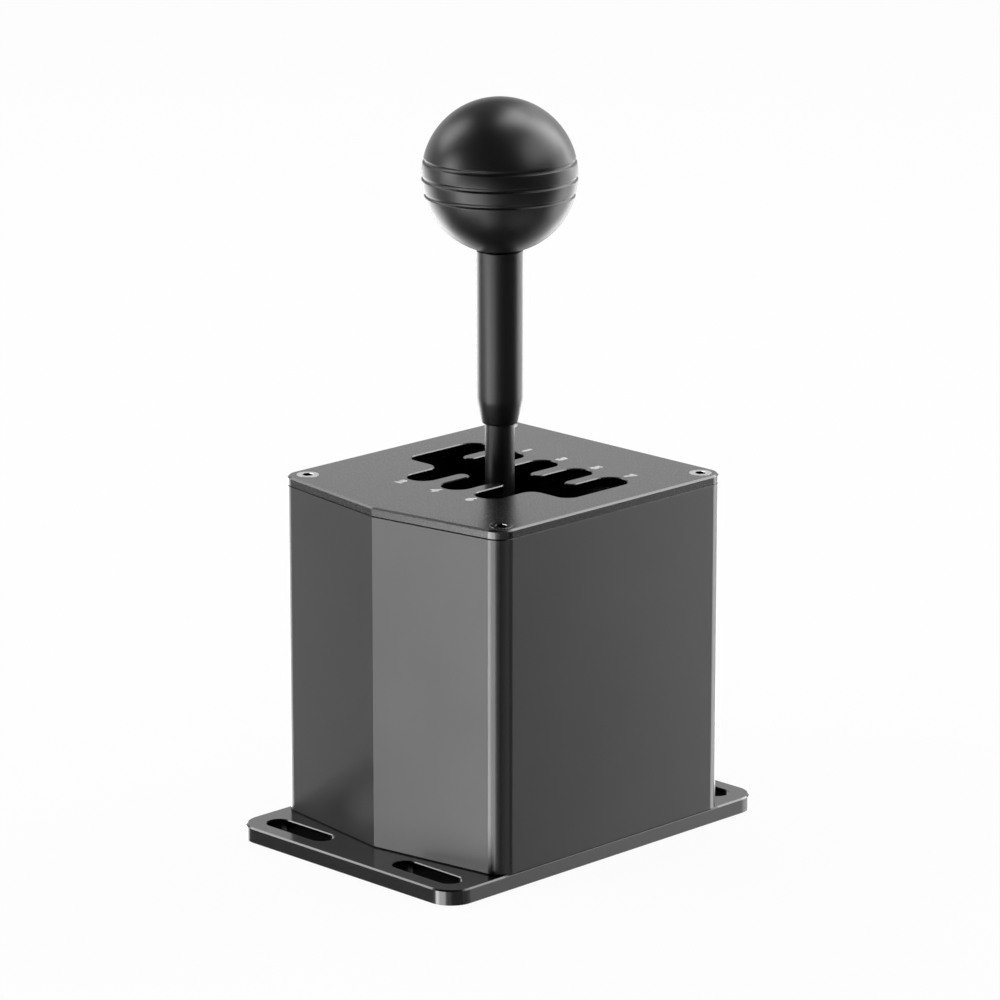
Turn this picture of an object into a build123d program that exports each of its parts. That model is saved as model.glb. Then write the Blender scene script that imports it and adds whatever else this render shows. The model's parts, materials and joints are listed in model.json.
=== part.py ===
from build123d import *
import os
from math import atan, cos, degrees, pi, radians, sin, sqrt

os.makedirs("parts", exist_ok=True)

# Sim racing gear shifter with a seven-speed gate, in millimetres.
# +Z is up, +Y points away from the driver, +X to the driver's right.
# The origin is under the lever, at the middle of the base plate's underside.

# Body outline, shared by the housing and the gate plate
body_width = 100.0
body_front = 53.5  # front face, measured from the lever's axis
body_rear = 49.5  # rear corners, measured from the lever's axis
prow_depth = 7.65  # the rear face folds out to an upright ridge
body_corner_radius = 6.0
body_height = 118.0  # top of the gate plate above the table
wall = 3.0

# Base plate
base_length = 143.4
base_thickness = 5.0
base_corner_radius = 8.5
base_edge_chamfer = 0.5
mount_slot_spacing_x = 59.0
mount_slot_spacing_y = 124.0
mount_slot_width = 8.0
mount_slot_length = 28.0
mount_slot_chamfer = 0.3

# Gate plate
gate_thickness = 3.0
gate_edge_chamfer = 0.6
gate_opening_chamfer = 0.3
seam_chamfer = 0.15  # groove where the gate plate meets the housing
column_pitch = 15.6
column_counts = (-2, -1, 0, 1, 2)  # reverse, 1-2, 3-4, 5-6 and 7
gate_slot_width = 10.6
outer_slot_extra = 0.45  # the lever leans most in the outer columns
gate_slot_reach = 24.5  # slot ends, measured from the middle of the neutral channel
channel_half = 7.2
outer_channel_rear = 6.5
gate_shoulder_radius = 4.5

# Lever and its two crossing axes
pivot_height = 30.0
shaft_radius = 4.8
pin_radius = 4.0
knob_radius = 25.0
knob_centre = 216.5
lever_stop_gap = 0.5  # left between the lever and the end of a slot

# Fits and clearances
running_gap = 0.05  # a shaft in its bush, on the radius
press_gap = 0.02  # a pressed or screwed piece in its bore, on the radius
side_gap = 0.3  # neighbours that move past each other
tip_gap = 0.1  # the end of a screw to what it points at
overrun = 1.0  # how far a cut runs past a face

# Countersunk screws of the casing and the brackets
screw_radius = 2.0
screw_head_radius = 3.75
screw_length = 12.0
screw_socket_radius = 1.45
screw_socket_depth = 1.4
screw_inset = 5.9  # corner screws, measured from the outer faces
screw_head_depth = screw_head_radius - screw_radius  # the heads are right-angled cones

slot_half = gate_slot_width / 2
outer_slot_half = slot_half + outer_slot_extra
outer_column = column_pitch * column_counts[-1]
inner_column = column_pitch * column_counts[-2]
lever_reach = body_height - gate_thickness / 2 - pivot_height
column_lean = atan(column_pitch / lever_reach)
standing = (Align.CENTER, Align.CENTER, Align.MIN)
hanging = (Align.CENTER, Align.CENTER, Align.MAX)


def furthest_lean():
    # Fore-and-aft lean at which the tilted lever stops short of a slot's end
    slope = 0.0
    for _ in range(40):
        half_section = shaft_radius * sqrt(1 + slope**2) + gate_thickness / 2 * slope
        slope = (gate_slot_reach - lever_stop_gap - half_section) / lever_reach
    return atan(slope * cos(column_lean))


shift_lean = furthest_lean()
print("column lean", round(degrees(column_lean), 3), "degrees")
print("shift lean", round(degrees(shift_lean), 3), "degrees")

corner_places = [
    (side * (body_width / 2 - screw_inset), y)
    for side in (-1, 1)
    for y in (body_front - screw_inset, -body_rear + screw_inset)
]


def finish(piece, name):
    # Names a finished piece and writes it
    piece.label = name
    export_step(piece, f"parts/{name}.step")


def facing_up(places, height):
    # Planes at one height that face upwards
    return [Plane(origin=(x, y, height)) for x, y in places]


def facing_down(places, height):
    # Planes at one height that face downwards
    return [Plane(origin=(x, y, height), x_dir=(1, 0, 0), z_dir=(0, 0, -1)) for x, y in places]


def facing_right(x, y, z):
    # A plane whose normal points to +X
    return Plane(origin=(x, y, z), x_dir=(0, 1, 0), z_dir=(1, 0, 0))


def facing_forward(x, y, z):
    # A plane whose normal points to +Y
    return Plane(origin=(x, y, z), x_dir=(-1, 0, 0), z_dir=(0, 1, 0))


def body_outline(inset):
    # Flat front, folded rear and rounded upright corners, drawn in by the inset
    with BuildSketch() as outline:
        with BuildLine():
            Polyline(
                (0, -body_rear - prow_depth),
                (body_width / 2, -body_rear),
                (body_width / 2, body_front),
                (-body_width / 2, body_front),
                (-body_width / 2, -body_rear),
                close=True,
            )
        make_face()
        fillet(outline.vertices().sort_by(Axis.Y)[1:], radius=body_corner_radius)
        if inset > 0:
            offset(amount=-inset, kind=Kind.INTERSECTION)
    return outline.sketch


def countersunk_screws(heads):
    # One screw under each plane, its head flush with the plane and its socket open to it
    with BuildPart() as screws:
        with Locations(*heads):
            Cylinder(screw_radius, screw_length, align=hanging)
            Cone(screw_radius, screw_head_radius, screw_head_depth, align=hanging)
        with BuildSketch(*heads):
            RegularPolygon(radius=screw_socket_radius, side_count=6)
        extrude(amount=-screw_socket_depth, mode=Mode.SUBTRACT)
    return screws.part


def flanged_bush(face, outer_radius, flange_radius, flange_thickness, length):
    # The flange stands on the plane and the barrel goes into the bore behind it
    with BuildPart() as bush:
        with Locations(face):
            Cylinder(flange_radius, flange_thickness, align=standing)
            Cylinder(outer_radius, length, align=hanging)
            Cylinder(
                pin_radius + running_gap,
                2 * length + 2 * flange_thickness,
                mode=Mode.SUBTRACT,
            )
    return bush.part


# Bearing brackets, bushes and trunnions of the select axis
bush_radius = 6.0
bush_flange_radius = 8.0
bush_flange_thickness = 1.2
bracket_thickness = 7.0
bracket_boss_radius = 11.0
bracket_foot_half = 28.0
bracket_foot_height = 8.0
bracket_screw_x = 21.5
bracket_web = 2.0
bracket_window_corner = 3.0
frame_half_length = 23.5
bracket_inner_face = frame_half_length + side_gap + bush_flange_thickness
bracket_outer_face = bracket_inner_face + bracket_thickness
bracket_middle = (bracket_inner_face + bracket_outer_face) / 2
bracket_places = [
    (x, y)
    for x in (-bracket_screw_x, bracket_screw_x)
    for y in (-bracket_middle, bracket_middle)
]

# Circuit board and its standoffs
board_half_width = 14.0
board_thickness = 1.6
board_rear = 20.0
board_edge_gap = 1.0  # board to the housing's inner face
board_side_gap = 1.0  # board to the legs of the brackets
board_corner_radius = 1.5
standoff_radius = 2.5
standoff_height = 4.0
standoff_spigot_radius = 2.0
standoff_spigot_depth = 2.5
standoff_inset = 3.0
board_screw_radius = 1.25
board_screw_length = 4.6
board_screw_head_radius = 2.3
board_screw_head_height = 1.5
board_front = body_front - wall - board_edge_gap
board_bottom = base_thickness + standoff_height
board_top = board_bottom + board_thickness
standoff_places = [
    (side * (board_half_width - standoff_inset), y)
    for side in (-1, 1)
    for y in (-board_rear + standoff_inset, board_front - standoff_inset)
]
bracket_window_half = board_half_width + board_side_gap
bracket_window_top = pivot_height - bracket_boss_radius - bracket_web

# USB-C socket at the board's front edge
socket_width = 8.9
socket_height = 3.2
socket_length = 7.3
socket_shell = 0.3
socket_corner_radius = 1.3
socket_mouth_gap = 0.4  # mouth to the housing's inner face
tongue_width = 6.7
tongue_thickness = 0.7
tongue_length = 5.6
cutout_width = 13.0
cutout_height = 7.0
cutout_corner_radius = 2.5
socket_middle = board_top + socket_height / 2
socket_mouth = body_front - wall - socket_mouth_gap

# Centring springs of the select axis and what they seat on
spring_x = 26.0
wire_radius = 0.6
coil_radius = 4.4  # to the middle of the wire
coil_turns = 7
end_pitch_share = 0.25  # how much closer the turns lie at the ends
cup_radius = 6.5
cup_thickness = 2.0
cup_pin_radius = 3.2
cup_pin_height = 3.0
cup_spigot_depth = 3.0
spring_bottom = base_thickness + cup_thickness

# Base plate
with BuildPart() as base_plate:
    with BuildSketch():
        RectangleRounded(body_width, base_length, base_corner_radius)
        with GridLocations(mount_slot_spacing_x, mount_slot_spacing_y, 2, 2):
            SlotOverall(mount_slot_length, mount_slot_width, mode=Mode.SUBTRACT)
    extrude(amount=base_thickness)
    chamfer(base_plate.faces().sort_by(Axis.Z)[-1].inner_wires().edges(), length=mount_slot_chamfer)
    chamfer(base_plate.faces().sort_by(Axis.Z)[-1].outer_wire().edges(), length=base_edge_chamfer)
    with Locations(*facing_down(corner_places + bracket_places, 0)):
        CounterSinkHole(screw_radius + press_gap, screw_head_radius + press_gap, counter_sink_angle=90)
    with Locations(*facing_up(standoff_places, base_thickness)):
        Hole(standoff_spigot_radius + press_gap, standoff_spigot_depth)
    with Locations(*facing_up([(-spring_x, 0), (spring_x, 0)], base_thickness)):
        Hole(cup_pin_radius + press_gap, cup_spigot_depth)
finish(base_plate.part, "base_plate")

# Housing, a length of extruded profile with a screw port in each corner
port_radius = 4.3
with BuildPart() as housing:
    with BuildSketch(Plane.XY.offset(base_thickness)):
        add(body_outline(0))
        add(body_outline(wall), mode=Mode.SUBTRACT)
        with Locations(*corner_places):
            Circle(port_radius)
            Circle(screw_radius + press_gap, mode=Mode.SUBTRACT)
    extrude(amount=body_height - gate_thickness - base_thickness)
    chamfer(housing.faces().sort_by(Axis.Z)[-1].outer_wire().edges(), length=seam_chamfer)
    with BuildSketch(facing_forward(0, body_front + overrun, socket_middle)):
        RectangleRounded(cutout_width, cutout_height, cutout_corner_radius)
    extrude(amount=-(wall + 2 * overrun), mode=Mode.SUBTRACT)
finish(housing.part, "housing")

# Gate opening: a neutral channel, five slots forward and three to the rear
tongue_radius = (column_pitch - gate_slot_width) / 2
outer_tongue_radius = (column_pitch - slot_half - outer_slot_half) / 2
with BuildSketch() as gate_opening:
    channel_end = outer_column + outer_slot_half
    band_front = channel_half + tongue_radius
    band_side = inner_column + slot_half
    with Locations((0, band_front / 2)):
        Rectangle(2 * channel_end, band_front)
    with Locations((0, -outer_channel_rear / 2)):
        Rectangle(2 * channel_end, outer_channel_rear)
    with Locations((0, -band_front / 2)):
        Rectangle(2 * band_side, band_front)
    for count in column_counts:
        column = column_pitch * count
        outer = abs(column) > inner_column
        half = outer_slot_half if outer else slot_half
        for way in (1,) if outer else (1, -1):
            with Locations((column, way * (gate_slot_reach - half) / 2)):
                Rectangle(2 * half, gate_slot_reach - half)
            with Locations((column, way * (gate_slot_reach - half))):
                Circle(half)
    for count in (-1, 0):
        between = column_pitch * (count + 1 / 2)
        with Locations((between, band_front), (between, -band_front)):
            Circle(tongue_radius, mode=Mode.SUBTRACT)
    for side in (-1, 1):
        between = side * (band_side + outer_tongue_radius)
        with Locations((between, channel_half + outer_tongue_radius)):
            Circle(outer_tongue_radius, mode=Mode.SUBTRACT)
        with Locations((between, (channel_half + outer_tongue_radius + band_front) / 2)):
            Rectangle(2 * outer_tongue_radius, tongue_radius - outer_tongue_radius, mode=Mode.SUBTRACT)
    shoulders = [
        gate_opening.vertices().sort_by_distance((side * x, -outer_channel_rear))[0]
        for side in (-1, 1)
        for x in (band_side, channel_end)
    ]
    fillet(shoulders, radius=gate_shoulder_radius)

with BuildPart() as gate_plate:
    with BuildSketch(Plane.XY.offset(body_height - gate_thickness)):
        add(body_outline(0))
        add(gate_opening.sketch, mode=Mode.SUBTRACT)
    extrude(amount=gate_thickness)
    top_face = gate_plate.faces().sort_by(Axis.Z)[-1]
    chamfer(top_face.inner_wires()[0].edges(), length=gate_opening_chamfer)
    chamfer(gate_plate.faces().sort_by(Axis.Z)[-1].outer_wire().edges(), length=gate_edge_chamfer)
    chamfer(gate_plate.faces().sort_by(Axis.Z)[0].outer_wire().edges(), length=seam_chamfer)
    with Locations(*facing_up(corner_places, body_height)):
        CounterSinkHole(screw_radius + press_gap, screw_head_radius + press_gap, counter_sink_angle=90)
finish(gate_plate.part, "gate_plate")

finish(countersunk_screws(facing_up(corner_places, body_height)), "gate_screws")
finish(countersunk_screws(facing_down(corner_places, 0)), "base_screws")
finish(countersunk_screws(facing_down(bracket_places, 0)), "bracket_screws")


def bearing_bracket(rear_face):
    # An arch over the circuit board: feet, a window between them and a boss around the bush
    with BuildPart() as bracket:
        with BuildSketch(Plane.XZ.offset(-rear_face - bracket_thickness)) as profile:
            with Locations((0, pivot_height)):
                Circle(bracket_boss_radius)
            with Locations((0, base_thickness + bracket_foot_height / 2)):
                Rectangle(2 * bracket_foot_half, bracket_foot_height)
            make_hull(profile.edges())
            with Locations((0, pivot_height)):
                Circle(bush_radius + press_gap, mode=Mode.SUBTRACT)
            with Locations((0, (base_thickness - overrun + bracket_window_top) / 2)):
                window_height = bracket_window_top - base_thickness + overrun
                Rectangle(2 * bracket_window_half, window_height, mode=Mode.SUBTRACT)
            window_corners = [
                profile.vertices().sort_by_distance((side * bracket_window_half, bracket_window_top))[0]
                for side in (-1, 1)
            ]
            fillet(window_corners, radius=bracket_window_corner)
        extrude(amount=bracket_thickness)
        middle = rear_face + bracket_thickness / 2
        screw_places = [(-bracket_screw_x, middle), (bracket_screw_x, middle)]
        with Locations(*facing_down(screw_places, base_thickness)):
            Hole(screw_radius + press_gap, screw_length - base_thickness + overrun)
    return bracket.part


finish(bearing_bracket(bracket_inner_face), "front_bearing_bracket")
finish(bearing_bracket(-bracket_outer_face), "rear_bearing_bracket")

front_bush_face = Plane(origin=(0, bracket_inner_face, pivot_height), z_dir=(0, -1, 0))
rear_bush_face = Plane(origin=(0, -bracket_inner_face, pivot_height), z_dir=(0, 1, 0))
for face, name in ((front_bush_face, "front_select_bush"), (rear_bush_face, "rear_select_bush")):
    bush = flanged_bush(face, bush_radius, bush_flange_radius, bush_flange_thickness, bracket_thickness)
    finish(bush, name)

# Spring cups, pressed into the base plate
with BuildPart() as spring_cups:
    with Locations(*facing_up([(-spring_x, 0), (spring_x, 0)], base_thickness)):
        Cylinder(cup_radius, cup_thickness, align=standing)
        Cylinder(cup_pin_radius, cup_thickness + cup_pin_height, align=standing)
        Cylinder(cup_pin_radius, cup_spigot_depth, align=hanging)
finish(spring_cups.part, "spring_cups")

# Circuit board, its standoffs and screws
with BuildPart() as main_board:
    with BuildSketch(Plane.XY.offset(board_bottom)):
        with Locations((0, (board_front - board_rear) / 2)):
            RectangleRounded(2 * board_half_width, board_front + board_rear, board_corner_radius)
        with Locations(*standoff_places):
            Circle(board_screw_radius + press_gap, mode=Mode.SUBTRACT)
    extrude(amount=board_thickness)
finish(main_board.part, "main_board")

with BuildPart() as board_standoffs:
    with Locations(*facing_up(standoff_places, base_thickness)):
        Cylinder(standoff_radius, standoff_height, align=standing)
        Cylinder(standoff_spigot_radius, standoff_spigot_depth, align=hanging)
    with Locations(*facing_up(standoff_places, board_bottom)):
        Hole(board_screw_radius + press_gap, standoff_height)
finish(board_standoffs.part, "board_standoffs")

with BuildPart() as board_screws:
    with Locations(*facing_up(standoff_places, board_top)):
        Cylinder(board_screw_head_radius, board_screw_head_height, align=standing)
        Cylinder(board_screw_radius, board_screw_length, align=hanging)
finish(board_screws.part, "board_screws")

# USB-C socket, its tongue, and the chips on the board
with BuildPart() as usb_socket:
    with BuildSketch(facing_forward(0, socket_mouth, socket_middle)):
        RectangleRounded(socket_width, socket_height, socket_corner_radius)
    extrude(amount=-socket_length)
    with BuildSketch(facing_forward(0, socket_mouth, socket_middle)):
        inner_corner = socket_corner_radius - socket_shell
        RectangleRounded(socket_width - 2 * socket_shell, socket_height - 2 * socket_shell, inner_corner)
    extrude(amount=-(socket_length - socket_shell), mode=Mode.SUBTRACT)
finish(usb_socket.part, "usb_socket")

with BuildPart() as usb_tongue:
    with BuildSketch(facing_forward(0, socket_mouth - socket_length + socket_shell, socket_middle)):
        Rectangle(tongue_width, tongue_thickness)
    extrude(amount=tongue_length)
finish(usb_tongue.part, "usb_tongue")

sensor_size = 4.0
sensor_height = 1.0
with BuildPart() as position_sensor:
    with Locations((0, 0, board_top)):
        Box(sensor_size, sensor_size, sensor_height, align=standing)
finish(position_sensor.part, "position_sensor")

controller_size = 7.0
controller_height = 1.2
regulator_length = 6.5
regulator_width = 3.5
regulator_height = 1.6
controller_y = board_front / 3
with BuildPart() as board_chips:
    with Locations((0, controller_y, board_top)):
        Box(controller_size, controller_size, controller_height, align=standing)
    with Locations((0, controller_y + controller_size + regulator_width, board_top)):
        Box(regulator_length, regulator_width, regulator_height, align=standing)
finish(board_chips.part, "board_chips")

# Rocker frame, which turns on the select axis and carries the shift axis
frame_half_width = 18.0
frame_wall = 6.0
frame_half_height = 7.0
frame_corner_radius = 3.0
frame_window_corner = 2.0
arm_thickness = 6.0
arm_radius = 6.0
arm_spigot_depth = 3.0
set_screw_radius = 1.5
detent_screw_radius = 1.0
detent_screw_length = 5.0
frame_bottom = pivot_height - frame_half_height
frame_top = pivot_height + frame_half_height
frame_inner_x = frame_half_width - frame_wall
frame_inner_y = frame_half_length - frame_wall
side_wall_middle = frame_half_width - frame_wall / 2

# Detent of the shift axis, on the right of the hub
hub_half_width = 8.0
detent_radius = 16.0
detent_plate_thickness = 3.0
leaf_thickness = 0.7
leaf_width = 5.0
leaf_x = hub_half_width + side_gap  # nearest face of the leaf
leaf_middle = leaf_x + leaf_width / 2
leaf_screw_inset = 2.8
leaf_screw_y = frame_half_length - leaf_screw_inset

with BuildPart() as rocker_frame:
    with BuildSketch(Plane.XY.offset(frame_bottom)):
        RectangleRounded(2 * frame_half_width, 2 * frame_half_length, frame_corner_radius)
        RectangleRounded(2 * frame_inner_x, 2 * frame_inner_y, frame_window_corner, mode=Mode.SUBTRACT)
    extrude(amount=2 * frame_half_height)
    with BuildSketch(Plane.XY.offset(frame_bottom)):
        for side in (-1, 1):
            with Locations((side * (side_wall_middle + spring_x) / 2, 0)):
                Rectangle(spring_x - side_wall_middle, 2 * arm_radius)
            with Locations((side * spring_x, 0)):
                Circle(arm_radius)
    extrude(amount=arm_thickness)
    with Locations((-spring_x, 0, frame_bottom), (spring_x, 0, frame_bottom)):
        Cylinder(cup_pin_radius, arm_spigot_depth, align=hanging)
    with Locations(facing_right(0, 0, pivot_height), facing_forward(0, 0, pivot_height)):
        Cylinder(pin_radius + press_gap, 2 * (frame_half_length + overrun), mode=Mode.SUBTRACT)
    with Locations((-side_wall_middle, 0, frame_top), (side_wall_middle, 0, frame_top)):
        Hole(set_screw_radius + press_gap, frame_half_height)
    with Locations((leaf_middle, leaf_screw_y, frame_top)):
        Hole(detent_screw_radius + press_gap, detent_screw_length)
finish(rocker_frame.part, "rocker_frame")

# Trunnions, pressed into the frame's end walls and turning in the brackets' bushes
clip_thickness = 0.8
clip_gap = 0.1
clip_radius = 6.0
clip_groove_depth = 0.8
clip_mouth_share = 0.8
trunnion_tail = 1.6
clip_inner_face = bracket_outer_face + side_gap
clip_groove_width = clip_thickness + 2 * clip_gap
trunnion_end = clip_inner_face + clip_thickness + clip_gap + trunnion_tail
with BuildPart() as trunnions:
    for outward in (-1, 1):
        with Locations(Plane(origin=(0, outward * frame_inner_y, pivot_height), z_dir=(0, outward, 0))):
            Cylinder(pin_radius, trunnion_end - frame_inner_y, align=standing)
        with BuildSketch(
            Plane(origin=(0, outward * (clip_inner_face - clip_gap), pivot_height), z_dir=(0, outward, 0))
        ):
            Circle(pin_radius + overrun)
            Circle(pin_radius - clip_groove_depth, mode=Mode.SUBTRACT)
        extrude(amount=clip_groove_width, mode=Mode.SUBTRACT)
finish(trunnions.part, "trunnions")

with BuildPart() as trunnion_clips:
    for outward in (-1, 1):
        with BuildSketch(
            Plane(origin=(0, outward * clip_inner_face, pivot_height), x_dir=(1, 0, 0), z_dir=(0, outward, 0))
        ):
            Circle(clip_radius)
            Circle(pin_radius - clip_groove_depth + press_gap, mode=Mode.SUBTRACT)
            with Locations((0, -clip_radius / 2)):
                Rectangle(2 * pin_radius * clip_mouth_share, clip_radius, mode=Mode.SUBTRACT)
        extrude(amount=clip_thickness)
finish(trunnion_clips.part, "trunnion_clips")

# Shift pin across the frame, with the set screws that hold it
with BuildPart() as shift_pin:
    with Locations(facing_right(0, 0, pivot_height)):
        Cylinder(pin_radius, 2 * frame_half_width)
finish(shift_pin.part, "shift_pin")

with BuildPart() as pin_set_screws:
    screw_drop = frame_half_height - pin_radius
    with Locations((-side_wall_middle, 0, frame_top), (side_wall_middle, 0, frame_top)):
        Cylinder(set_screw_radius, screw_drop, align=hanging)
        Hole(set_screw_radius / 2, screw_drop / 2)
finish(pin_set_screws.part, "pin_set_screws")

# Lever hub with its bushes and the spacers that centre it on the pin
hub_half_length = 9.0
hub_below = 9.0
hub_above = 20.0
hub_edge_radius = 2.0
hub_edge_chamfer = 1.0
hub_floor = 1.5  # left between the pin's bush and the shaft's end
hub_bush_radius = 5.5
hub_bush_flange_radius = 7.0
hub_bush_length = 6.5
tail_radius = 4.0
magnet_gap = 2.4  # magnet to the sensor under it
magnet_radius = 2.5
magnet_height = 3.0
grub_radius = 2.0
grub_height_share = 0.62  # up the stretch of shaft that the hub holds
tail_bottom = board_top + sensor_height + magnet_gap
hub_top = pivot_height + hub_above
shaft_bottom = pivot_height + hub_bush_radius + hub_floor
grub_z = shaft_bottom + grub_height_share * (hub_top - shaft_bottom)
with BuildPart() as lever_hub:
    with BuildSketch(Plane.XY.offset(pivot_height - hub_below)):
        RectangleRounded(2 * hub_half_width, 2 * hub_half_length, hub_edge_radius)
    extrude(amount=hub_above + hub_below)
    chamfer(lever_hub.faces().sort_by(Axis.Z)[-1].outer_wire().edges(), length=hub_edge_chamfer)
    with Locations((0, 0, tail_bottom)):
        Cylinder(tail_radius, pivot_height - hub_below - tail_bottom, align=standing)
    with Locations(*facing_down([(0, 0)], tail_bottom)):
        Hole(magnet_radius + press_gap, magnet_height)
    with Locations(facing_right(0, 0, pivot_height)):
        Cylinder(hub_bush_radius + press_gap, 2 * (hub_half_width + overrun), mode=Mode.SUBTRACT)
    with Locations((0, 0, hub_top)):
        Hole(shaft_radius + press_gap, hub_top - shaft_bottom)
    with Locations(facing_forward(0, 0, grub_z)):
        Cylinder(grub_radius + press_gap, 2 * (hub_half_length + overrun), mode=Mode.SUBTRACT)
finish(lever_hub.part, "lever_hub")

with BuildPart() as hub_grub_screws:
    for outward in (-1, 1):
        with Locations(Plane(origin=(0, outward * hub_half_length, grub_z), z_dir=(0, outward, 0))):
            Cylinder(grub_radius, hub_half_length - shaft_radius - tip_gap, align=hanging)
            Hole(grub_radius / 2, grub_radius)
finish(hub_grub_screws.part, "hub_grub_screws")

with BuildPart() as sensor_magnet:
    with Locations((0, 0, tail_bottom)):
        Cylinder(magnet_radius, magnet_height, align=standing)
finish(sensor_magnet.part, "sensor_magnet")

left_hub_face = Plane(origin=(-hub_half_width, 0, pivot_height), z_dir=(-1, 0, 0))
right_hub_face = Plane(origin=(hub_half_width, 0, pivot_height), z_dir=(1, 0, 0))
with BuildPart() as hub_bushes:
    for face in (left_hub_face, right_hub_face):
        add(
            flanged_bush(
                face,
                hub_bush_radius,
                hub_bush_flange_radius,
                bush_flange_thickness,
                hub_bush_length,
            )
        )
finish(hub_bushes.part, "hub_bushes")

spacer_radius = 6.5
spacer_start = hub_half_width + bush_flange_thickness + side_gap
with BuildPart() as pin_spacers:
    for outward in (-1, 1):
        with Locations(Plane(origin=(outward * spacer_start, 0, pivot_height), z_dir=(outward, 0, 0))):
            Cylinder(spacer_radius, frame_inner_x - press_gap - spacer_start, align=standing)
    with Locations(facing_right(0, 0, pivot_height)):
        Cylinder(pin_radius + press_gap, 2 * frame_half_width, mode=Mode.SUBTRACT)
finish(pin_spacers.part, "pin_spacers")

# Detent plate, a fan with one notch for each gear row and one for neutral
notch_radius = 1.5
notch_rise = 0.6  # notch centres, outside the fan's arc
fan_margin = radians(8)
fan_foot_half = 6.0
fan_foot = 8.5  # foot of the fan above the pivot
fan_screw_y = 3.4
fan_screw_rise = 11.5
fan_screw_radius = 1.25
fan_screw_depth = 4.0
fan_head_radius = 2.2
fan_head_height = 1.2
fan_angle = shift_lean + fan_margin
fan_screw_planes = [
    facing_right(hub_half_width + detent_plate_thickness, y, pivot_height + fan_screw_rise)
    for y in (-fan_screw_y, fan_screw_y)
]
with BuildPart() as detent_plate:
    with BuildSketch(Plane.YZ.offset(hub_half_width)):
        with BuildLine():
            rim = CenterArc(
                (0, pivot_height),
                detent_radius,
                start_angle=90 - degrees(fan_angle),
                arc_size=2 * degrees(fan_angle),
            )
            Polyline(
                rim @ 1,
                (-fan_foot_half, pivot_height + fan_foot),
                (fan_foot_half, pivot_height + fan_foot),
                rim @ 0,
            )
        make_face()
        for step in (-1, 0, 1):
            reach = detent_radius + notch_rise
            notch = (reach * sin(step * shift_lean), pivot_height + reach * cos(step * shift_lean))
            with Locations(notch):
                Circle(notch_radius, mode=Mode.SUBTRACT)
    extrude(amount=detent_plate_thickness)
    with Locations(*fan_screw_planes):
        Hole(fan_screw_radius + press_gap)
finish(detent_plate.part, "detent_plate")

with BuildPart() as detent_plate_screws:
    with Locations(*fan_screw_planes):
        Cylinder(fan_screw_radius, detent_plate_thickness, align=hanging)
        Cylinder(fan_head_radius, fan_head_height, align=standing)
finish(detent_plate_screws.part, "detent_plate_screws")

# Detent spring, a strip bent up from the frame, back over the fan and down into its notch
leaf_foot_end = 0.6
nose_round = 0.8
nose_tail = 1.8
leaf_lift = 0.9
leaf_head_radius = 1.9
leaf_head_height = 1.2
notch_floor = pivot_height + detent_radius + notch_rise - notch_radius
nose_z = notch_floor + side_gap + leaf_thickness / 2 - nose_round * (sqrt(2) - 1)
leaf_run = pivot_height + detent_radius + leaf_thickness / 2 + leaf_lift
leaf_base = frame_top + leaf_thickness / 2
riser_y = frame_inner_y + leaf_thickness / 2
nose_half = leaf_run - nose_z
with BuildPart() as detent_spring:
    with BuildSketch(Plane.YZ.offset(leaf_x)):
        with BuildLine():
            FilletPolyline(
                (frame_half_length - leaf_foot_end, leaf_base),
                (riser_y, leaf_base),
                (riser_y, leaf_run),
                (nose_half, leaf_run),
                (0, nose_z),
                (-nose_half, leaf_run),
                (-nose_half - nose_tail, leaf_run),
                radius=nose_round,
            )
            offset(amount=leaf_thickness / 2, side=Side.BOTH)
        make_face()
    extrude(amount=leaf_width)
    with Locations((leaf_middle, leaf_screw_y, frame_top + leaf_thickness)):
        Hole(detent_screw_radius + press_gap, leaf_thickness)
finish(detent_spring.part, "detent_spring")

with BuildPart() as detent_screw:
    with Locations((leaf_middle, leaf_screw_y, frame_top + leaf_thickness)):
        Cylinder(leaf_head_radius, leaf_head_height, align=standing)
        Cylinder(detent_screw_radius, leaf_thickness + detent_screw_length - tip_gap, align=hanging)
finish(detent_screw.part, "detent_screw")

# Knob, a ball with three grooves round it, screwed down on a threaded insert
knob_neck_radius = 8.2
groove_count = 3
groove_rise = 5.15  # highest groove above the ball's middle
groove_spacing = 5.4
groove_width = 1.1
groove_depth = 0.6
insert_radius = 6.5
insert_length = 20.0
insert_rib_gap = 3.0
insert_rib_depth = 0.5
insert_drop = 0.5  # below the knob's underside
stud_radius = 4.0
stud_length = 16.0
knob_underside = knob_centre - sqrt(knob_radius**2 - knob_neck_radius**2)
insert_bottom = knob_underside - insert_drop
insert_top = insert_bottom + insert_length
with BuildPart() as shift_knob:
    with Locations((0, 0, knob_centre)):
        Sphere(knob_radius)
    split(bisect_by=Plane.XY.offset(knob_underside), keep=Keep.TOP)
    with BuildSketch(Plane.XZ):
        for step in range(groove_count):
            rise = groove_rise - step * groove_spacing
            with Locations((sqrt(knob_radius**2 - rise**2), knob_centre + rise)):
                Rectangle(2 * groove_depth, groove_width)
    revolve(axis=Axis.Z, mode=Mode.SUBTRACT)
    with Locations(*facing_down([(0, 0)], knob_underside)):
        Hole(insert_radius + press_gap, insert_top - knob_underside)
finish(shift_knob.part, "shift_knob")

with BuildPart() as knob_insert:
    with Locations((0, 0, insert_bottom)):
        Cylinder(insert_radius, insert_length, align=standing)
    with BuildSketch(Plane.XZ):
        with Locations((insert_radius, (insert_bottom + insert_top) / 2)):
            Rectangle(2 * insert_rib_depth, insert_rib_gap)
    revolve(axis=Axis.Z, mode=Mode.SUBTRACT)
    with Locations(*facing_down([(0, 0)], insert_bottom)):
        Hole(stud_radius + press_gap, stud_length + overrun)
finish(knob_insert.part, "knob_insert")

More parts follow.
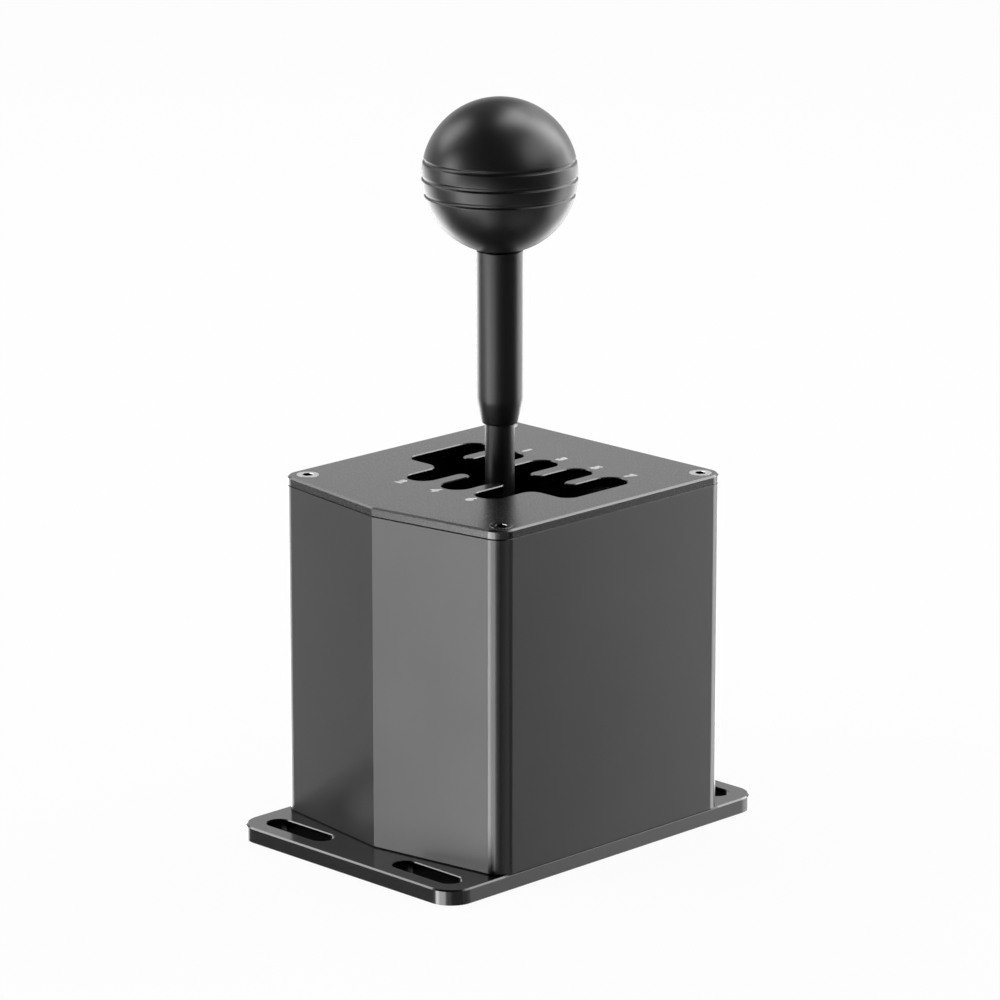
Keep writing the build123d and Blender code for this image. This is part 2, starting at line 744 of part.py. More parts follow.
# Sleeve, held between the shaft's shoulder and the knob's insert
sleeve_radius = 7.5
sleeve_bottom = 135.4
nose_radius = 5.75
nose_length = 6.6
shoulder_radius = 7.1
shoulder_length = 1.4
upper_shaft_radius = 4.4
with BuildPart() as lever_sleeve:
    with BuildSketch(Plane.XZ):
        nose_top = sleeve_bottom + nose_length
        bore = upper_shaft_radius + press_gap
        with BuildLine():
            Polyline((bore, sleeve_bottom), (nose_radius, sleeve_bottom), (shoulder_radius, nose_top))
            nose_slope = nose_length / (shoulder_radius - nose_radius)
            Spline(
                (shoulder_radius, nose_top),
                (sleeve_radius, nose_top + shoulder_length),
                tangents=[(1, nose_slope / 2), (0, 1)],
            )
            Polyline(
                (sleeve_radius, nose_top + shoulder_length),
                (sleeve_radius, insert_bottom),
                (bore, insert_bottom),
                (bore, sleeve_bottom),
            )
        make_face()
    revolve(axis=Axis.Z)
finish(lever_sleeve.part, "lever_sleeve")

# Shaft from the hub to the knob, stepped down inside the sleeve and threaded at the top
shaft_end_chamfer = 0.6
with BuildPart() as lever_shaft:
    with Locations((0, 0, shaft_bottom)):
        Cylinder(shaft_radius, sleeve_bottom - shaft_bottom, align=standing)
    with Locations((0, 0, sleeve_bottom)):
        Cylinder(upper_shaft_radius, insert_bottom - sleeve_bottom, align=standing)
    with Locations((0, 0, insert_bottom)):
        Cylinder(stud_radius, stud_length, align=standing)
    chamfer(lever_shaft.edges().sort_by(Axis.Z)[-1], length=shaft_end_chamfer)
finish(lever_shaft.part, "lever_shaft")


def coil_point(turn):
    # Helix about the upright axis whose turns lie closer at both ends
    share = turn / coil_turns
    rise = frame_bottom - spring_bottom
    height = spring_bottom + rise * (share - end_pitch_share * sin(2 * pi * share) / (2 * pi))
    angle = 2 * pi * turn
    return Vector(coil_radius * cos(angle), coil_radius * sin(angle), height)


def coil_tangent(turn):
    # Direction of the helix at the same place
    share = turn / coil_turns
    pitch = (frame_bottom - spring_bottom) / coil_turns * (1 - end_pitch_share * cos(2 * pi * share))
    angle = 2 * pi * turn
    climb = pitch / (2 * pi)
    return Vector(-coil_radius * sin(angle), coil_radius * cos(angle), climb).normalized()


def biarc_middle(start, start_way, end, end_way):
    # Where two arcs of equal reach meet, with the direction they share there
    across = end - start
    total = start_way + end_way
    spread = 2 * (1 - start_way.dot(end_way))
    reach = (sqrt(across.dot(total) ** 2 + spread * across.dot(across)) - across.dot(total)) / spread
    first = start + start_way * reach
    second = end - end_way * reach
    return (first + second) * (1 / 2), (second - first).normalized()


def coil_gap():
    # Least gap between neighbouring turns of wire, measured on points along it
    samples = 24
    points = [coil_point(step / samples) for step in range(coil_turns * samples + 1)]
    pairs = [
        (points[low] - points[high]).length
        for low in range(len(points))
        for high in range(low + samples // 2, min(low + 2 * samples, len(points)))
    ]
    return min(pairs) - 2 * wire_radius


print("least gap between turns of the centring springs", round(coil_gap(), 3), "mm")


def centring_spring():
    # One unbroken wire of half-turn biarcs, ground flat where it seats at each end
    with BuildPart() as spring:
        with BuildLine() as wire:
            for half_turn in range(2 * coil_turns):
                start, end = coil_point(half_turn / 2), coil_point((half_turn + 1) / 2)
                start_way, end_way = coil_tangent(half_turn / 2), coil_tangent((half_turn + 1) / 2)
                middle, middle_way = biarc_middle(start, start_way, end, end_way)
                TangentArc(start, middle, tangent=start_way)
                TangentArc(middle, end, tangent=middle_way)
        with BuildSketch(Plane(origin=coil_point(0), z_dir=coil_tangent(0))):
            Circle(wire_radius)
        sweep(path=wire.line)
        split(bisect_by=Plane.XY.offset(spring_bottom), keep=Keep.TOP)
        split(bisect_by=Plane.XY.offset(frame_bottom), keep=Keep.BOTTOM)
    return spring.part


spring_form = centring_spring()
for side, name in ((-1, "left_centring_spring"), (1, "right_centring_spring")):
    finish(Pos(side * spring_x, 0, 0) * spring_form, name)
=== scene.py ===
import json
import math
import bmesh
import bpy
import numpy as np
from mathutils import Matrix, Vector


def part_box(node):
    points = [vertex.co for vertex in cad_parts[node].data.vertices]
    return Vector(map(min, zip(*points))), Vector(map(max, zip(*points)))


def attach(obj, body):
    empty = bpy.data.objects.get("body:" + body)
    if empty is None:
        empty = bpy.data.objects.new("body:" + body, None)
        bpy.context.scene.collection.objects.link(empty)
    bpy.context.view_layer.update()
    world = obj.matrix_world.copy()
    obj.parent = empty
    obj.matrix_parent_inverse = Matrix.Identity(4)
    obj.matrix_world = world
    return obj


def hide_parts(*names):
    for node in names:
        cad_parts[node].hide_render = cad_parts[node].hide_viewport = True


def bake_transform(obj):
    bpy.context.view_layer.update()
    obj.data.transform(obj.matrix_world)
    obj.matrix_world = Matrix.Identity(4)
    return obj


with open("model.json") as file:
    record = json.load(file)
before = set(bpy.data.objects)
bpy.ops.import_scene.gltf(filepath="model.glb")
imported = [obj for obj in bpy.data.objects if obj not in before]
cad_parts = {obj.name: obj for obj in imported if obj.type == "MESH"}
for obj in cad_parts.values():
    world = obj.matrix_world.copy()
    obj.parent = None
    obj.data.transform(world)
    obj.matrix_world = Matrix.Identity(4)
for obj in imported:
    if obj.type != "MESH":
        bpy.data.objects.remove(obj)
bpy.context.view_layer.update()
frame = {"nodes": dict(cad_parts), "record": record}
mm = 0.001
print("frame loaded")


def roundedPath(corners, steps=6):
    # Each corner is (x, z, radius). An arc's middle lies on the line that halves its corner, at the
    # radius over the sine of half the corner's angle. The arc starts and ends on the two sides, at
    # the radius over the tangent of half the angle, and its points in between are the two ends
    # weighted by the sines of the angles still to go and gone.
    path = []
    for index, (x, z, radius) in enumerate(corners):
        here = np.array([x, z])
        if radius == 0 or index in (0, len(corners) - 1):
            path.append(here[None])
            continue
        before = np.array(corners[index - 1][:2]) - here
        after = np.array(corners[index + 1][:2]) - here
        before = before / np.linalg.norm(before)
        after = after / np.linalg.norm(after)
        half = math.acos(np.clip(before @ after, -1, 1)) / 2
        reach = radius / math.tan(half)
        halfway = (before + after) / np.linalg.norm(before + after)
        middle = here + halfway * radius / math.sin(half)
        first = here + before * reach - middle
        last = here + after * reach - middle
        swing = math.pi - 2 * half
        share = np.linspace(0, 1, steps + 1)[:, None]
        blendIn = np.sin((1 - share) * swing) / math.sin(swing)
        blendOut = np.sin(share * swing) / math.sin(swing)
        path.append(middle + first * blendIn + last * blendOut)
    return np.concatenate(path)


def gridMesh(name, grids, closedAcross=True, mergeDistance=1e-7):
    # Each grid of points, rows by columns, becomes quads. Columns wrap round when closed across,
    # and points that meet are merged.
    mesh = bpy.data.meshes.new(name)
    places, faces, start = [], [], 0
    for points in grids:
        rows, columns = points.shape[:2]
        index = start + np.arange(rows * columns).reshape(rows, columns)
        right = np.roll(index, -1, axis=1)
        span = slice(None) if closedAcross else slice(0, -1)
        quads = np.stack([index[:-1], right[:-1], right[1:], index[1:]], axis=-1)[:, span]
        places.append(points.reshape(-1, 3))
        faces.append(quads.reshape(-1, 4))
        start += rows * columns
    mesh.from_pydata(np.concatenate(places), [], np.concatenate(faces).tolist())
    merged = bmesh.new()
    merged.from_mesh(mesh)
    bmesh.ops.remove_doubles(merged, verts=merged.verts, dist=mergeDistance)
    merged.to_mesh(mesh)
    merged.free()
    mesh.polygons.foreach_set("use_smooth", np.ones(len(mesh.polygons), dtype=bool))
    mesh.update()
    piece = bpy.data.objects.new(name, mesh)
    bpy.context.scene.collection.objects.link(piece)
    return piece


def turned(profile, segments):
    # x and y are the radius times the cosine and sine of the angle, z is the height
    angle = np.linspace(0, 2 * math.pi, segments, endpoint=False)
    radius = profile[:, 0][:, None]
    height = np.broadcast_to(profile[:, 1][:, None], (len(profile), segments))
    return np.stack([radius * np.cos(angle), radius * np.sin(angle), height], axis=-1)


def node(graph, kind, **values):
    # A new node with some of its settings
    made = graph.nodes.new(kind)
    for key, value in values.items():
        setattr(made, key, value)
    return made


def newMaterial(name):
    # A material with its nodes and its shader
    material = bpy.data.materials.new(name)
    material.use_nodes = True
    graph = material.node_tree
    return material, graph, graph.nodes["Principled BSDF"]


def noiseIn(graph, scale, detail, stretch):
    # Noise over the object's own coordinates, stretched along its axes
    place = node(graph, "ShaderNodeTexCoord")
    mapping = node(graph, "ShaderNodeMapping")
    mapping.inputs["Scale"].default_value = stretch
    noise = node(graph, "ShaderNodeTexNoise")
    noise.inputs["Scale"].default_value = scale
    noise.inputs["Detail"].default_value = detail
    graph.links.new(place.outputs["Object"], mapping.inputs["Vector"])
    graph.links.new(mapping.outputs["Vector"], noise.inputs["Vector"])
    return noise.outputs["Fac"]


noiseMiddle = (0.3, 0.7)  # most of a noise lies between these


def rangeOf(graph, source, low, high):
    # Spreads the middle of a noise over low to high
    spread = node(graph, "ShaderNodeMapRange")
    spread.inputs["From Min"].default_value = noiseMiddle[0]
    spread.inputs["From Max"].default_value = noiseMiddle[1]
    spread.inputs["To Min"].default_value = low
    spread.inputs["To Max"].default_value = high
    graph.links.new(source, spread.inputs["Value"])
    return spread.outputs["Result"]


def mixedTone(graph, share, first, second):
    # Goes from the first colour to the second as the share goes from 0 to 1
    mix = node(graph, "ShaderNodeMix", data_type="RGBA")
    for socket, colour in ((mix.inputs["A"], first), (mix.inputs["B"], second)):
        if isinstance(colour, tuple):
            socket.default_value = (*colour, 1)
        else:
            graph.links.new(colour, socket)
    graph.links.new(share, mix.inputs["Factor"])
    return mix.outputs["Result"]


def combined(graph, operation, first, second):
    # One operation on two values, each a socket or a number
    made = node(graph, "ShaderNodeMath", operation=operation)
    for socket, value in zip(made.inputs, (first, second)):
        if isinstance(value, (int, float)):
            socket.default_value = value
        else:
            graph.links.new(value, socket)
    return made.outputs["Value"]


def partsOf(graph, output):
    # The x, y and z of the object's own coordinates or of its own normal
    place = node(graph, "ShaderNodeTexCoord")
    parts = node(graph, "ShaderNodeSeparateXYZ")
    graph.links.new(place.outputs[output], parts.inputs["Vector"])
    return parts.outputs


def bumpOf(graph, source, strength, distance):
    # A normal that follows a height, which goes up to the distance
    bump = node(graph, "ShaderNodeBump")
    bump.inputs["Strength"].default_value = strength
    bump.inputs["Distance"].default_value = distance
    graph.links.new(source, bump.inputs["Height"])
    return bump.outputs["Normal"]


def grey(level):
    return (level, level, level)


# What a finish has where it doesn't say otherwise
plainFinish = {"specular": 0.5, "stretch": (1, 1, 1), "driftDetail": 3.0, "grainDetail": 5.0}


def surface(name, look):
    # A tone that drifts slowly, a roughness that varies faster, and a fine grain as bump
    look = {**plainFinish, **look}
    material, graph, shader = newMaterial(name)
    shader.inputs["Metallic"].default_value = look["metallic"]
    shader.inputs["Specular IOR Level"].default_value = look["specular"]
    drift = noiseIn(graph, look["driftScale"], look["driftDetail"], look["stretch"])
    grain = noiseIn(graph, look["grainScale"], look["grainDetail"], look["stretch"])
    tone = mixedTone(graph, rangeOf(graph, drift, 0, 1), look["dark"], look["light"])
    graph.links.new(tone, shader.inputs["Base Color"])
    graph.links.new(rangeOf(graph, grain, *look["roughness"]), shader.inputs["Roughness"])
    graph.links.new(bumpOf(graph, grain, *look["bump"]), shader.inputs["Normal"])
    if "anisotropy" in look:
        # The tangent runs round the upright axis, and a quarter turn spreads the gloss up and down
        amount, turn = look["anisotropy"]
        tangent = node(graph, "ShaderNodeTangent", direction_type="RADIAL", axis="Z")
        graph.links.new(tangent.outputs["Tangent"], shader.inputs["Tangent"])
        shader.inputs["Anisotropic"].default_value = amount
        shader.inputs["Anisotropic Rotation"].default_value = turn
    return material


# Scales are in cycles per metre, bump is its strength and its depth in metres, and anisotropy is
# its amount and its turn, where 1 is once round
looks = {
    "anodised_housing": {
        "metallic": 0.95, "dark": grey(0.078), "light": grey(0.084), "roughness": (0.33, 0.36),
        "driftScale": 30, "grainScale": 2600, "bump": (0.05, 0.00002), "anisotropy": (0.85, 0.25),
    },
    "anodised_base": {
        "metallic": 0.95, "dark": grey(0.062), "light": grey(0.068), "roughness": (0.16, 0.2),
        "driftScale": 30, "grainScale": 2600, "bump": (0.03, 0.00001),
    },
    "anodised_plate": {
        "metallic": 0.95, "dark": grey(0.050), "light": grey(0.056), "roughness": (0.25, 0.28),
        "driftScale": 30, "grainScale": 2600, "bump": (0.012, 0.00001),
    },
    "black_grip": {
        "metallic": 0.0, "dark": grey(0.002), "light": grey(0.003), "roughness": (0.36, 0.39),
        "driftScale": 40, "grainScale": 2400, "bump": (0.05, 0.00002), "specular": 0.43,
    },
    "black_steel": {
        "metallic": 0.0, "dark": grey(0.002), "light": grey(0.003), "roughness": (0.4, 0.44),
        "driftScale": 60, "grainScale": 1800, "bump": (0.02, 0.00001), "specular": 0.36,
    },
    "screw_steel": {
        "metallic": 1.0, "dark": grey(0.36), "light": grey(0.46), "roughness": (0.12, 0.16),
        "driftScale": 300, "grainScale": 2500, "bump": (0.1, 0.00002),
    },
    "machined_aluminium": {
        "metallic": 1.0, "dark": (0.62, 0.62, 0.63), "light": (0.72, 0.72, 0.73),
        "roughness": (0.25, 0.38), "driftScale": 60, "grainScale": 900, "bump": (0.2, 0.00003),
        "stretch": (1, 1, 12),
    },
    "steel": {
        "metallic": 1.0, "dark": (0.42, 0.42, 0.43), "light": (0.55, 0.55, 0.56),
        "roughness": (0.2, 0.32), "driftScale": 120, "grainScale": 1400, "bump": (0.15, 0.00002),
    },
    "spring_steel": {
        "metallic": 1.0, "dark": (0.3, 0.3, 0.31), "light": (0.46, 0.46, 0.48),
        "roughness": (0.24, 0.36), "driftScale": 200, "grainScale": 1600, "bump": (0.15, 0.00002),
    },
    "bronze": {
        "metallic": 1.0, "dark": (0.5, 0.31, 0.13), "light": (0.64, 0.43, 0.2),
        "roughness": (0.34, 0.46), "driftScale": 260, "grainScale": 2600, "bump": (0.4, 0.00004),
    },
    "brass": {
        "metallic": 1.0, "dark": (0.68, 0.5, 0.22), "light": (0.8, 0.62, 0.3),
        "roughness": (0.2, 0.3), "driftScale": 160, "grainScale": 1500, "bump": (0.2, 0.00002),
    },
    "circuit_board": {
        "metallic": 0.0, "dark": (0.006, 0.055, 0.02), "light": (0.012, 0.09, 0.035),
        "roughness": (0.28, 0.4), "driftScale": 420, "grainScale": 1600, "bump": (0.3, 0.00004),
    },
    "chip_plastic": {
        "metallic": 0.0, "dark": grey(0.012), "light": grey(0.02), "roughness": (0.42, 0.55),
        "driftScale": 300, "grainScale": 2600, "bump": (0.4, 0.00003),
    },
    "magnet_nickel": {
        "metallic": 1.0, "dark": (0.6, 0.59, 0.56), "light": (0.72, 0.71, 0.68),
        "roughness": (0.14, 0.24), "driftScale": 220, "grainScale": 1500, "bump": (0.1, 0.00002),
    },
    "number_paint": {
        "metallic": 0.0, "dark": grey(0.74), "light": grey(0.84), "roughness": (0.45, 0.55),
        "driftScale": 3000, "grainScale": 3000, "bump": (0.2, 0.00002),
    },
}
materials = {slot: surface(slot, look) for slot, look in looks.items()}


def retoned(material, share, tone):
    # Another tone where the share is 1
    graph = material.node_tree
    colour = graph.nodes["Principled BSDF"].inputs["Base Color"]
    graph.links.new(mixedTone(graph, share, colour.links[0].from_socket, grey(tone)), colour)


def below(graph, source, limit):
    # 1 where the size of a value is below the limit
    return combined(graph, "LESS_THAN", combined(graph, "ABSOLUTE", source, 0), limit)


def between(graph, source, low, high):
    # 1 where a value is less than half the span away from the middle of the span
    return below(graph, combined(graph, "SUBTRACT", source, (low + high) / 2), (high - low) / 2)


def beyond(graph, least):
    # 1 where a point is at least so far to either side of the middle plane
    return combined(graph, "SUBTRACT", 1, below(graph, partsOf(graph, "Object")["X"], least))


def upright(graph, steepest=0.4):
    # 1 where the normal points up or down by less than this
    return below(graph, partsOf(graph, "Normal")["Z"], steepest)


def near(graph, halfWidth, halfLength):
    # 1 where x and y are both near the middle
    place = partsOf(graph, "Object")
    across = below(graph, place["X"], halfWidth)
    return combined(graph, "MULTIPLY", across, below(graph, place["Y"], halfLength))


def finishSides(material, least, tone):
    # Upright faces at least so far to the side have the housing's tone
    graph = material.node_tree
    retoned(material, combined(graph, "MULTIPLY", upright(graph), beyond(graph, least)), tone)


def paintWallShade(material, walls, tone):
    # Painted shade: the upright faces of the openings are coloured near black, where shade falls
    # inside them
    graph = material.node_tree
    retoned(material, combined(graph, "MULTIPLY", near(graph, *walls), upright(graph)), tone)


def darkenBand(material, band, tone, facing=None):
    # Another tone between two heights, on every face or only where the normal's y is below a limit
    graph = material.node_tree
    share = between(graph, partsOf(graph, "Object")["Z"], *band)
    if facing is not None:
        turnedBack = combined(graph, "LESS_THAN", partsOf(graph, "Normal")["Y"], facing)
        share = combined(graph, "MULTIPLY", share, turnedBack)
    retoned(material, share, tone)


def roughenSides(material, least, level):
    # The roughness grows by the level on upright faces at least so far to the side
    graph = material.node_tree
    rough = graph.nodes["Principled BSDF"].inputs["Roughness"]
    share = combined(graph, "MULTIPLY", upright(graph), beyond(graph, least))
    more = combined(graph, "MULTIPLY", share, level)
    graph.links.new(combined(graph, "ADD", rough.links[0].from_socket, more), rough)


def paintEdgeShade(material, least, length, band, tone):
    # A strip of painted shade at least so far to the side, between two places along it and two
    # heights
    graph = material.node_tree
    place = partsOf(graph, "Object")
    strip = combined(
        graph, "MULTIPLY", between(graph, place["Y"], *length), between(graph, place["Z"], *band)
    )
    retoned(material, combined(graph, "MULTIPLY", beyond(graph, least), strip), tone)


# Walls are half the width and half the length of the part of the plate that holds the openings, and
# their near-black tone is painted shade
plateSides = {"from": 0, "tone": 0.081, "walls": (39 * mm, 27 * mm), "wallShadeTone": 0.0015}
baseSides = {
    "from": 49.5 * mm, "tone": 0.081, "duller": 0.24, "walls": (46 * mm, 67 * mm),
    "wallShadeTone": 0.0015, "edgeFrom": 49.3 * mm, "edgeLength": (-47.5 * mm, 51.5 * mm),
    "edgeBand": (4.5 * mm, 5.1 * mm), "edgeShadeTone": 0.035,
}
plate = materials["anodised_plate"]
finishSides(plate, plateSides["from"], plateSides["tone"])
# Painted shade on the walls of the gate plate's openings
paintWallShade(plate, plateSides["walls"], plateSides["wallShadeTone"])
base = materials["anodised_base"]
finishSides(base, baseSides["from"], baseSides["tone"])
# Painted shade on the walls of the base's openings
paintWallShade(base, baseSides["walls"], baseSides["wallShadeTone"])
roughenSides(base, baseSides["from"], baseSides["duller"])
# Painted shade: the base's top edge is coloured dark under the housing's flush side faces
paintEdgeShade(
    base, baseSides["edgeFrom"], baseSides["edgeLength"], baseSides["edgeBand"],
    baseSides["edgeShadeTone"],
)

# A dark seam under the gate plate, made darkest by painted shade on the faces that look along -Y,
# and painted shade along the housing's foot over the base on those faces
seamAndShade = {
    "height": 115 * mm, "half": 0.22 * mm, "tone": 0.05, "shadeTone": 0.002, "facing": -0.4,
    "foot": (5 * mm, 5.4 * mm),
}
seamBand = (seamAndShade["height"] - seamAndShade["half"], seamAndShade["height"] + seamAndShade["half"])
for slot in ("anodised_plate", "anodised_housing"):
    darkenBand(materials[slot], seamBand, seamAndShade["tone"])
    darkenBand(materials[slot], seamBand, seamAndShade["shadeTone"], seamAndShade["facing"])
# Painted shade along the housing's foot, on the faces that look along -Y
darkenBand(materials["anodised_housing"], seamAndShade["foot"], seamAndShade["shadeTone"], seamAndShade["facing"])

# Painted shade inside the sockets of the gate's screws, coloured near black
socketShade = {"band": (105 * mm, 117.75 * mm), "tone": 0.002}
darkenBand(materials["screw_steel"], socketShade["band"], socketShade["tone"])

for subpart in frame["record"]["subparts"]:
    carried = frame["nodes"][subpart["node"]]
    carried.data.materials.clear()
    carried.data.materials.append(materials[subpart["material_slot"]])
frame["nodes"]["base_plate"].data.materials[0] = base  # glossier than the housing
print("materials on the carried nodes")


def dress(piece, body, slot, *replaced):
    # A new piece rides on its body if it has just one, takes its slot's material and stands for
    # its nodes
    piece.data.materials.append(materials[slot])
    if body is not None:
        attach(piece, body)
    for name in replaced:
        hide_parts(name)


# Ball knob, a sphere with three rounded grooves over a short bore
knob = {
    "radius": 25.0, "centre": 216.5, "neck": 8.2, "neckRound": 0.5, "neckRoom": 1.6,
    "boreRadius": 6.52, "boreTop": 212.4, "boreRound": 0.3,
    "grooveRises": (5.15, -0.25, -5.65), "grooveHalf": 0.55, "grooveDepth": 0.6, "lip": 0.3,
    "steps": 400, "segments": 224,
}


def knobProfile(shape):
    # The radius is the sphere's, less a groove depth that falls smoothly over the lip of each
    # groove: three times the square of the share of the lip, less twice its cube
    radius, centre = shape["radius"], shape["centre"]
    lowest = -math.acos(shape["neck"] / radius)
    climb = np.linspace(lowest, math.pi / 2, shape["steps"])
    rise = radius * np.sin(climb)
    reach = np.full_like(rise, radius)
    for groove in shape["grooveRises"]:
        away = np.abs(rise - groove)
        share = np.clip((shape["grooveHalf"] + shape["lip"] / 2 - away) / shape["lip"], 0, 1)
        reach = reach - shape["grooveDepth"] * share**2 * (3 - 2 * share)
    ball = np.stack([reach * np.cos(climb), centre + reach * np.sin(climb)], axis=-1)
    ball[-1, 0] = 0
    underside = ball[0, 1]
    # The ball's first points give way to the rounding of its neck
    away = np.linalg.norm(ball - ball[0], axis=1)
    ball = ball[away > shape["neckRound"] * shape["neckRoom"]]
    start = roundedPath([
        (0, shape["boreTop"], 0),
        (shape["boreRadius"], shape["boreTop"], shape["boreRound"]),
        (shape["boreRadius"], underside, shape["boreRound"]),
        (radius * math.cos(lowest), underside, shape["neckRound"]),
        (*ball[0], 0),
    ])
    return np.concatenate([start, ball[1:]])


knobGrid = turned(knobProfile(knob), knob["segments"])
dress(gridMesh("knob_ball", [knobGrid * mm]), "lever", "black_grip", "shift_knob")

# Threaded insert under the knob, with a ribbed barrel, in a near-black steel finish that stands as
# painted shade in the gap under the ball
insert = {
    "radius": 6.5, "bottom": 192.4, "top": 212.4, "round": 0.3,
    "bore": 4.02, "boreTop": 209.4, "boreTopRound": 0.2, "boreRound": 0.3,
    "ribs": 36, "ribDepth": 0.22, "ribFrom": 194.5, "ribTo": 210.5, "waist": 0.5,
    "waistHalf": 1.5, "skin": 0.01, "rows": 60, "segments": 288,
}


def insertGrid(shape):
    # Turned from its profile. On the barrel the radius is then less by half the rib depth times
    # one minus the cosine of the number of ribs times the angle, or by the waist's depth where
    # that is more.
    radius, bottom, top = shape["radius"], shape["bottom"], shape["top"]
    outer = np.linspace(bottom + shape["round"], top - shape["round"], shape["rows"])
    corners = roundedPath([
        (0, shape["boreTop"], 0),
        (shape["bore"], shape["boreTop"], shape["boreTopRound"]),
        (shape["bore"], bottom, shape["boreRound"]),
        (radius, bottom, shape["round"]),
        (radius, outer[1], 0),
    ])
    upper = roundedPath([(radius, outer[-2], 0), (radius, top, shape["round"]), (0, top, 0)])
    rows = outer[2:-2]
    barrel = np.stack([np.full(len(rows), radius), rows], axis=-1)
    profile = np.concatenate([corners, barrel, upper])
    points = turned(profile, shape["segments"])
    angle = np.linspace(0, 2 * math.pi, shape["segments"], endpoint=False)
    height = profile[:, 1]
    outside = profile[:, 0] > radius - shape["skin"]
    onBarrel = outside & (height > shape["ribFrom"]) & (height < shape["ribTo"])
    away = np.abs(height - (bottom + top) / 2)
    dip = onBarrel * np.where(away < shape["waistHalf"], shape["waist"], 0)
    ribs = (onBarrel * shape["ribDepth"])[:, None] * (1 - np.cos(shape["ribs"] * angle)) / 2
    scale = 1 - np.maximum(dip[:, None], ribs) / radius
    points[:, :, :2] *= scale[:, :, None]
    return points


dress(gridMesh("insert_barrel", [insertGrid(insert) * mm]), "lever", "black_steel", "knob_insert")

# Sleeve with a cone nose that runs smoothly into the straight part
sleeve = {
    "bore": 4.42, "boreRound": 0.15, "radius": 7.5, "bottom": 135.4, "noseRadius": 5.75,
    "noseRound": 0.7, "coneTop": 143.3, "coneRound": 12.0, "top": 192.4, "topRound": 0.5,
    "steps": 12, "segments": 160,
}
sleeveProfile = roundedPath([
    (sleeve["bore"], sleeve["top"], 0),
    (sleeve["bore"], sleeve["bottom"], sleeve["boreRound"]),
    (sleeve["noseRadius"], sleeve["bottom"], sleeve["noseRound"]),
    (sleeve["radius"], sleeve["coneTop"], sleeve["coneRound"]),
    (sleeve["radius"], sleeve["top"], sleeve["topRound"]),
    (sleeve["bore"], sleeve["top"], 0),
], sleeve["steps"])
sleeveGrid = turned(sleeveProfile, sleeve["segments"])
dress(gridMesh("grip_sleeve", [sleeveGrid * mm]), "lever", "black_grip", "lever_sleeve")

# Shaft, stepped inside the sleeve, with a threaded stud
shaft = {
    "radius": 4.8, "bottom": 37.0, "bottomRound": 0.4, "step": 135.4, "stepRound": 0.1,
    "upper": 4.4, "stud": 192.4, "shoulderRound": 0.15, "studRadius": 4.0, "top": 208.4,
    "pitch": 1.25, "threadDepth": 0.6, "threadGap": 0.1, "rowsPerTurn": 8, "segments": 96,
}


def threadRadius(radius, depth, turns, angle):
    # The radius less the depth times a triangle wave, which runs once for every turn of the height
    # in turns less the angle
    phase = (turns - angle / (2 * math.pi)) % 1
    return radius - depth * np.abs(2 * phase - 1)


def threadGrid(shape, radius, low, high):
    # A helical ridge between two heights: x and y are the thread's radius times the cosine and
    # sine of the angle, and the ridge fades out over half a turn at both ends
    depth, pitch = shape["threadDepth"], shape["pitch"]
    rows = int((high - low) / pitch * shape["rowsPerTurn"]) + 1
    height = np.linspace(low, high, rows)[:, None]
    angle = np.linspace(0, 2 * math.pi, shape["segments"], endpoint=False)[None, :]
    reach = threadRadius(radius, depth, (height - low) / pitch, angle)
    fade = np.clip(np.minimum(height - low, high - height) / (pitch / 2), 0, 1)
    reach = (radius - depth) + (reach - (radius - depth)) * fade
    return np.stack([reach * np.cos(angle), reach * np.sin(angle), height + 0 * angle], axis=-1)


def shaftGrid(shape):
    # Turned up to the stud, then the thread, then the stud's flat end
    root = shape["studRadius"] - shape["threadDepth"]
    rod = roundedPath([
        (0, shape["bottom"], 0),
        (shape["radius"], shape["bottom"], shape["bottomRound"]),
        (shape["radius"], shape["step"], shape["stepRound"]),
        (shape["upper"], shape["step"], shape["stepRound"]),
        (shape["upper"], shape["stud"], shape["shoulderRound"]),
        (root, shape["stud"], 0),
    ])
    gap = shape["threadGap"]
    stud = threadGrid(shape, shape["studRadius"], shape["stud"] + gap, shape["top"] - gap)
    end = roundedPath([(root, shape["top"], 0), (0, shape["top"], 0)])
    return np.concatenate([turned(rod, shape["segments"]), stud, turned(end, shape["segments"])])


dress(gridMesh("shaft_rod", [shaftGrid(shaft) * mm]), "lever", "black_steel", "lever_shaft")
print("lever")

# Countersunk screws with a hexagon socket and a thread
screw = {
    "head": 3.75, "rim": 0.05, "land": 0.12, "shank": 2.0, "neckRound": 0.1, "length": 12.0,
    "tipChamfer": 0.2, "socket": 1.85, "socketDepth": 1.4, "socketRound": 0.1, "socketPoint": 0.5,
    "socketRim": 1.4, "pitch": 0.7, "threadDepth": 0.38, "threadGap": 0.3, "rowsPerTurn": 6,
    "segments": 48, "sharpAngle": 35,
}


